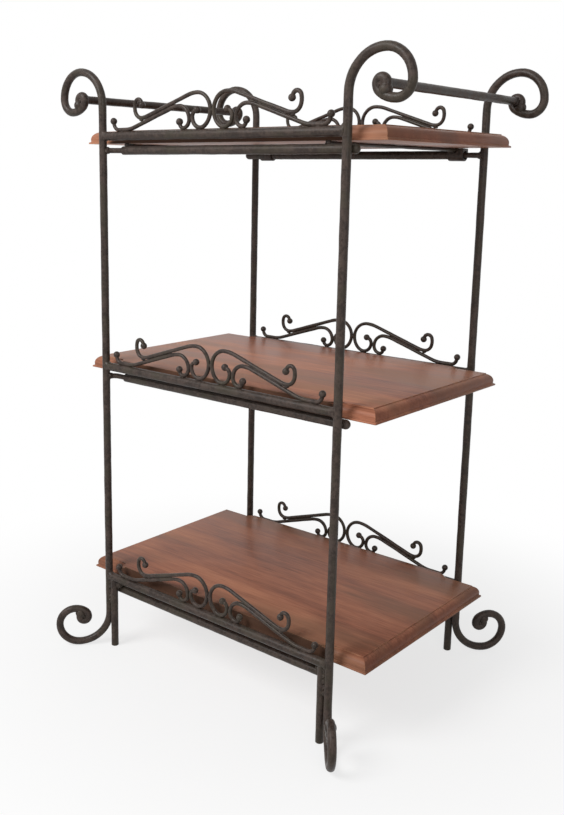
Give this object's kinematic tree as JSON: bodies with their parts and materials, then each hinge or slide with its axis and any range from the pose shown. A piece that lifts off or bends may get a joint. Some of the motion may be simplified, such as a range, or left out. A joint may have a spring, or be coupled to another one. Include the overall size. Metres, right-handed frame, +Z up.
{
  "type": "bakers rack",
  "caption": "Wrought iron rack with scrolled corner posts, scroll galleries along its long sides, carrying handles at the ends and loose moulded wooden shelves.",
  "frame": {"origin": "centre of the bounding box at floor level", "axes": "+X along the long side to the right as seen from the front, +Y from the front to the back, +Z up; millimetres in the source, metres in the record"},
  "size_m": [0.6376, 0.5004, 0.9325],
  "materials": {
    "iron": "hand-worked black-brown antique lacquer, satin",
    "scrollwork": "black-brown antique lacquer, satin, with soft forged tips",
    "wood": "red-brown figured hardwood with a satin lacquer"
  },
  "bodies": {
    "frame": {"post_front_left": "iron", "leg_front_left": "iron", "post_front_right": "iron", "leg_front_right": "iron", "post_back_left": "iron", "leg_back_left": "iron", "post_back_right": "iron", "leg_back_right": "iron", "rail_bottom_front": "iron", "bar_bottom_front": "iron", "scroll_large_bottom_front_left": "scrollwork", "scroll_large_bottom_front_right": "scrollwork", "scroll_small_bottom_front_left": "scrollwork", "scroll_small_bottom_front_right": "scrollwork", "rail_bottom_back": "iron", "bar_bottom_back": "iron", "scroll_large_bottom_back_left": "scrollwork", "scroll_large_bottom_back_right": "scrollwork", "scroll_small_bottom_back_left": "scrollwork", "scroll_small_bottom_back_right": "scrollwork", "ties_bottom": "iron", "rail_middle_front": "iron", "bar_middle_front": "iron", "scroll_large_middle_front_left": "scrollwork", "scroll_large_middle_front_right": "scrollwork", "scroll_small_middle_front_left": "scrollwork", "scroll_small_middle_front_right": "scrollwork", "rail_middle_back": "iron", "bar_middle_back": "iron", "scroll_large_middle_back_left": "scrollwork", "scroll_large_middle_back_right": "scrollwork", "scroll_small_middle_back_left": "scrollwork", "scroll_small_middle_back_right": "scrollwork", "ties_middle": "iron", "rail_top_front": "iron", "bar_top_front": "iron", "scroll_large_top_front_left": "scrollwork", "scroll_large_top_front_right": "scrollwork", "scroll_small_top_front_left": "scrollwork", "scroll_small_top_front_right": "scrollwork", "rail_top_back": "iron", "bar_top_back": "iron", "scroll_large_top_back_left": "scrollwork", "scroll_large_top_back_right": "scrollwork", "scroll_small_top_back_left": "scrollwork", "scroll_small_top_back_right": "scrollwork", "ties_top": "iron", "handle_left": "iron", "handle_right": "iron", "spigots_middle": "iron", "spigots_top": "iron", "saddles_top": "iron"},
    "shelf_bottom": {"board_bottom": "wood"},
    "shelf_middle": {"board_middle": "wood"},
    "shelf_top": {"board_top": "wood"}
  },
  "joints": [
    {"name": "board_bottom_lift", "type": "slide", "parent": "frame", "child": "shelf_bottom", "axis": [0, 0, 1], "range_m": [0, 0.12]},
    {"name": "board_middle_lift", "type": "slide", "parent": "frame", "child": "shelf_middle", "axis": [0, 0, 1], "range_m": [0, 0.12]},
    {"name": "board_top_lift", "type": "slide", "parent": "frame", "child": "shelf_top", "axis": [0, 0, 1], "range_m": [0, 0.03]}
  ]
}
